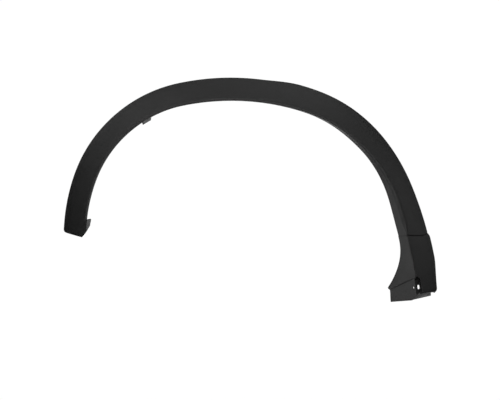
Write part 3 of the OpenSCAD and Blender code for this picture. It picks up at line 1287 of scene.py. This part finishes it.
class Wire:
    """A shader socket whose arithmetic adds Math nodes."""

    def __init__(self, graph: "Graph", socket: bpy.types.NodeSocket) -> None:
        """Wrap a socket of a graph."""
        self.graph = graph
        self.socket = socket

    def math(self, operation: str, *values: "Wire | float") -> "Wire":
        """Add one Math node.

        Args:
            operation: The node's operation.
            values: What its sockets hold, in order.

        Returns:
            The node's result.
        """
        return self.graph.node("ShaderNodeMath", {"operation": operation}, dict(enumerate(values)))

    def __add__(self, other: "Wire | float") -> "Wire":
        """Sum of both."""
        return self.math("ADD", self, other)

    def __radd__(self, other: float) -> "Wire":
        """Sum of both."""
        return self.math("ADD", other, self)

    def __sub__(self, other: "Wire | float") -> "Wire":
        """Difference of both."""
        return self.math("SUBTRACT", self, other)

    def __rsub__(self, other: float) -> "Wire":
        """Difference of both."""
        return self.math("SUBTRACT", other, self)

    def __mul__(self, other: "Wire | float") -> "Wire":
        """Product of both."""
        return self.math("MULTIPLY", self, other)

    def __rmul__(self, other: float) -> "Wire":
        """Product of both."""
        return self.math("MULTIPLY", other, self)


class Graph:
    """The node tree of one material."""

    def __init__(self, material: bpy.types.Material) -> None:
        """Take over a material's nodes.

        Args:
            material: The material.
        """
        material.use_nodes = True
        self.tree = material.node_tree
        self.shader = self.tree.nodes["Principled BSDF"]

    def node(
        self,
        kind: str,
        settings: dict[str, object],
        inputs: dict[str | int, Wire | float | tuple[float, ...]],
        output: str | int = 0,
    ) -> Wire:
        """Add a node.

        Args:
            kind: The node's type.
            settings: Its settings, with a ramp's stops as "stops".
            inputs: Values or wires for its sockets, by name or number.
            output: The socket that is handed back.

        Returns:
            The output as a wire.
        """
        made = self.tree.nodes.new(kind)
        for name, value in settings.items():
            if name == "stops":
                self.set_stops(made.color_ramp, value)
            else:
                setattr(made, name, value)
        for name, value in inputs.items():
            self.feed(made.inputs[name], value)
        return Wire(self, made.outputs[output])

    def set_stops(self, ramp: bpy.types.ColorRamp, stops: Sequence[Pair]) -> None:
        """Give a ramp its grey stops.

        Args:
            ramp: The ramp.
            stops: The places and levels of its stops.
        """
        while len(ramp.elements) < len(stops):
            ramp.elements.new(0.5)
        for element, (position, level) in zip(ramp.elements, stops):
            element.position = position
            element.color = opaque_grey(level)

    def feed(self, socket: bpy.types.NodeSocket, value: Wire | float | tuple[float, ...]) -> None:
        """Fill one socket.

        Args:
            socket: The socket.
            value: A wire that is linked to it, or the value that it holds.
        """
        if isinstance(value, Wire):
            self.tree.links.new(value.socket, socket)
        else:
            socket.default_value = value


@dataclass(frozen=True)
class Speckle:
    """One scale of noise.

    The size of its features is in metres. Detail is how many finer layers lie on it, and rough how
    strong they are.
    """

    size: float
    detail: float
    rough: float


@dataclass(frozen=True)
class MouldedPlastic:
    """Black polypropylene with a fine moulded grain. Lengths are metres.

    A layer's share says how far it takes the grey toward the pale one, and its roughness how much it
    adds to the roughness. The convex edges take their polish, a lower roughness, from the edge mask,
    which also paints them paler as a painted sheen.
    """

    grey: float = 0.0127
    pale_grey: float = 0.0193
    roughness: float = 0.47
    specular: float = 0.5
    cloud: Speckle = Speckle(0.055, 4, 0.55)
    streak: Speckle = Speckle(0.012, 3, 0.6)
    flow: tuple[float, float, float] = (0.35, 1, 1)
    grain: Speckle = Speckle(0.0009, 2, 0.6)
    pit_size: float = 0.0014
    pit_softness: float = 0.5
    cloud_share: float = 0.24
    streak_share: float = 0.12
    pit_share: float = 0.14
    # Share by which the convex edges are painted paler, a painted sheen
    edge_sheen_share: float = 0.55
    cloud_roughness: float = 0.1
    pit_roughness: float = 0.04
    edge_polish: float = 0.1
    relief_depth: float = 0.00013
    relief_strength: float = 0.9
    grain_in_relief: float = 0.6
    edge_level: Pair = (0.52, 0.6)

    def material(self) -> bpy.types.Material:
        """Make the material.

        Returns:
            The finished node material.
        """
        made = bpy.data.materials.new("moulded_plastic")
        graph = Graph(made)
        place = graph.node("ShaderNodeTexCoord", {}, {}, "Object")
        sheen_and_polish_edge = self.sheen_and_polish_edge(graph)
        cloud = self.noise(graph, place, self.cloud)
        streak = self.noise(graph, self.stretched(graph, place), self.streak)
        grain = self.noise(graph, place, self.grain)
        pits = self.pits(graph, place)
        mottle = self.cloud_share * cloud + self.streak_share * streak
        # The edge term paints the convex edges paler: a painted sheen, not a colour of the plastic
        mottle += self.pit_share * pits + self.edge_sheen_share * sheen_and_polish_edge
        tint = graph.node("ShaderNodeMix", {"data_type": "RGBA"}, {
            "Factor": mottle,
            MIX_FIRST_COLOUR: opaque_grey(self.grey),
            MIX_SECOND_COLOUR: opaque_grey(self.pale_grey)}, MIX_COLOUR_RESULT)
        rough = self.roughness + self.cloud_roughness * cloud + self.pit_roughness * pits
        rough -= self.edge_polish * sheen_and_polish_edge
        relief = graph.node("ShaderNodeBump", {}, {
            "Strength": self.relief_strength, "Distance": self.relief_depth,
            "Height": self.grain_in_relief * grain + pits}, "Normal")
        graph.feed(graph.shader.inputs["Base Color"], tint)
        graph.feed(graph.shader.inputs["Roughness"], rough)
        graph.feed(graph.shader.inputs["Normal"], relief)
        graph.shader.inputs["Specular IOR Level"].default_value = self.specular
        return made

    def noise(self, graph: Graph, place: Wire, scale: Speckle) -> Wire:
        """Noise of one scale."""
        return graph.node("ShaderNodeTexNoise", {}, {
            "Vector": place, "Scale": 1 / scale.size, "Detail": scale.detail, "Roughness": scale.rough})

    def pits(self, graph: Graph, place: Wire) -> Wire:
        """Rounded pits of the moulded grain."""
        return graph.node("ShaderNodeTexVoronoi", {"feature": "SMOOTH_F1"}, {
            "Vector": place, "Scale": 1 / self.pit_size, "Smoothness": self.pit_softness}, "Distance")

    def stretched(self, graph: Graph, place: Wire) -> Wire:
        """Coordinates drawn out along the car, for the flow of the melt."""
        return graph.node("ShaderNodeVectorMath", {"operation": "MULTIPLY"}, {0: place, 1: self.flow})

    def sheen_and_polish_edge(self, graph: Graph) -> Wire:
        """Mask of the convex edges, where the moulded grain is flatter and so glossier, and where the
        colour is painted paler as a painted sheen.

        Args:
            graph: The material's graph.

        Returns:
            The mask, 1 on an edge.
        """
        bend = graph.node("ShaderNodeNewGeometry", {}, {}, "Pointiness")
        low, high = self.edge_level
        return graph.node("ShaderNodeValToRGB", {"stops": ((low, 0), (high, 1))}, {0: bend})


@dataclass(frozen=True)
class Moulding:
    """The whole trim as one moulded solid."""

    band: Band = field(default_factory=Band)
    finish: MouldedPlastic = field(default_factory=MouldedPlastic)
    smooth_angle: float = 35

    def build(self) -> bpy.types.Object:
        """Mould the trim in one piece and dress it.

        Returns:
            The finished piece.
        """
        made = SweptWall(self.band).build()
        for part in (BottomWall(self.band), CornerRibs(self.band), ClipSeats(self.band)):
            combine(made, part.build(), Joining.JOIN)
            log.info("%s joined", type(part).__name__)
        combine(made, FootFixings(self.band).build(), Joining.CUT)
        made.name = "moulding"
        made.data.materials.clear()
        made.data.materials.append(self.finish.material())
        for face in made.data.polygons:
            face.use_smooth = True
            face.material_index = 0
        made.data.set_sharp_from_angle(angle=math.radians(self.smooth_angle))
        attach(made, BODY)
        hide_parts(NODE)
        return made


def aimed(name: str, data: bpy.types.ID, aim: Vector, away: Vector, distance: float) -> bpy.types.Object:
    """Hang a lamp or a camera so that it looks at a point.

    Args:
        name: Name of the object.
        data: The lamp or camera.
        aim: The point that it looks at.
        away: Direction from that point to it.
        distance: Distance from that point to it.

    Returns:
        The object, linked into the scene.
    """
    made = linked(name, data)
    made.location = aim + away * distance
    made.rotation_mode = "QUATERNION"
    made.rotation_quaternion = (-away).to_track_quat("-Z", "Y")
    return made


@dataclass(frozen=True)
class SoftBox:
    """A square studio light, aimed at the middle of the trim. Watts are for its distance."""

    name: str
    azimuth: float
    elevation: float
    watts: float
    distance: float = 3.2
    size: float = 1.6
    aim: tuple[float, float, float] = (0.03, 0.0, -0.28)

    def build(self) -> None:
        """Hang the light."""
        sideways, forward = sine_cosine(self.azimuth)
        upward, level = sine_cosine(self.elevation)
        away = Vector((sideways * level, -forward * level, upward))
        data = bpy.data.lights.new(self.name, "AREA")
        data.shape = "SQUARE"
        data.size = self.size
        data.energy = self.watts
        made = aimed(self.name, data, Vector(self.aim), away, self.distance)
        made.visible_camera = False


@dataclass(frozen=True)
class Studio:
    """Pale lit floor that fades into a white surround, with soft boxes that alone light the trim."""

    floor: float = -1.3
    floor_radius: float = 4.2
    floor_points: int = 96
    fade_from: float = 1.6
    fade_to: float = 4.07
    paper: float = 0.35
    paper_roughness: float = 0.9
    glow: float = 0.88
    surround: float = 1.02
    lights: tuple[SoftBox, ...] = (
        SoftBox("right_rear", 120, 0, 27),
        SoftBox("high_left_rear", -150, 30, 25),
        SoftBox("low_left_rear", -120, -30, 24, size=1.2),
        SoftBox("low_rear", 165, -30, 15, size=1.2),
        SoftBox("low_right_rear", 120, -30, 12, size=1.2),
        SoftBox("under_rear", 180, -60, 6),
        SoftBox("right", 60, 0, 5),
        SoftBox("left_front", -45, -5, 2.2),
        SoftBox("before_opening", 0, -6, 1.1, distance=0.6, size=0.4),
        SoftBox("right_shoulder", 40, 40, 1.1, distance=0.95, size=0.4),
        SoftBox("left_shoulder_side", -75, 35, 1, distance=0.95, size=0.4),
        SoftBox("left_shoulder_front", -35, 30, 1, distance=0.95, size=0.4),
        SoftBox("between_legs", 20, -30, 0.6, distance=0.35, size=0.3),
        SoftBox("over_crown", 0, 60, 0.5, distance=0.8, size=0.4),
        SoftBox("right_leg", 60, 0, 0.45, distance=1.0, size=0.4),
        SoftBox("left_of_opening", -35, 8, 0.3, distance=0.6, size=0.4),
    )

    def build(self) -> None:
        """Set up the studio."""
        self.build_floor()
        for light in self.lights:
            light.build()
        scene = bpy.context.scene
        scene.view_settings.view_transform = "Standard"
        world = bpy.data.worlds.new("surround")
        world.use_nodes = True
        background = world.node_tree.nodes["Background"]
        background.inputs["Color"].default_value = opaque_grey(1)
        background.inputs["Strength"].default_value = self.surround
        scene.world = world
        world.cycles_visibility.diffuse = False
        world.cycles_visibility.glossy = False

    def build_floor(self) -> None:
        """Make the floor, a round sheet of paper that only the camera sees."""
        rim = arc_points(self.floor_radius, 0, 360, self.floor_points)[:-1]
        mesh = bpy.data.meshes.new("floor")
        mesh.from_pydata([(x, y, self.floor) for x, y in rim], [], [range(len(rim))])
        mesh.materials.append(self.floor_material())
        floor = linked("floor", mesh)
        floor.visible_diffuse = False
        floor.visible_glossy = False
        floor.visible_shadow = False

    def floor_material(self) -> bpy.types.Material:
        """Paper that fades out toward the floor's rim.

        Returns:
            The finished node material.
        """
        made = bpy.data.materials.new("floor_paper")
        graph = Graph(made)
        place = graph.node("ShaderNodeTexCoord", {}, {}, "Object")
        flat = graph.node("ShaderNodeVectorMath", {"operation": "MULTIPLY"}, {0: place, 1: (1, 1, 0)})
        reach = graph.node("ShaderNodeVectorMath", {"operation": "LENGTH"}, {0: flat}, "Value")
        shown = graph.node("ShaderNodeMapRange", {"interpolation_type": "SMOOTHERSTEP"}, {
            "Value": reach, "From Min": self.fade_from, "From Max": self.fade_to,
            "To Min": 1.0, "To Max": 0.0})
        graph.feed(graph.shader.inputs["Alpha"], shown)
        graph.shader.inputs["Base Color"].default_value = opaque_grey(self.paper)
        graph.shader.inputs["Roughness"].default_value = self.paper_roughness
        graph.shader.inputs["Emission Color"].default_value = opaque_grey(1)
        graph.shader.inputs["Emission Strength"].default_value = self.glow
        return made


@dataclass(frozen=True)
class Viewpoint:
    """Camera at the photograph's viewing angle."""

    azimuth: float = -15
    distance: float = 3.6
    aim: tuple[float, float, float] = (0.03405, -0.016, -0.2841)
    focal_pixels: float = 1384.6
    picture_width: float = 500
    sensor: float = 36
    sight: float = 100

    def build(self) -> None:
        """Place the camera."""
        sideways, forward = sine_cosine(self.azimuth)
        data = bpy.data.cameras.new("camera")
        data.sensor_width = self.sensor
        data.lens = self.focal_pixels / self.picture_width * self.sensor
        data.clip_end = self.sight
        away = Vector((sideways, -forward, 0))
        bpy.context.scene.camera = aimed("camera", data, Vector(self.aim), away, self.distance)


def main() -> None:
    """Dress the trim, note its number of faces, set up the studio and place the camera."""
    logging.basicConfig(level=logging.INFO, format="%(message)s")
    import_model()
    trim = Moulding().build()
    log.info("moulding: %d faces", len(trim.data.polygons))
    Studio().build()
    Viewpoint().build()


if __name__ == "__main__":
    main()
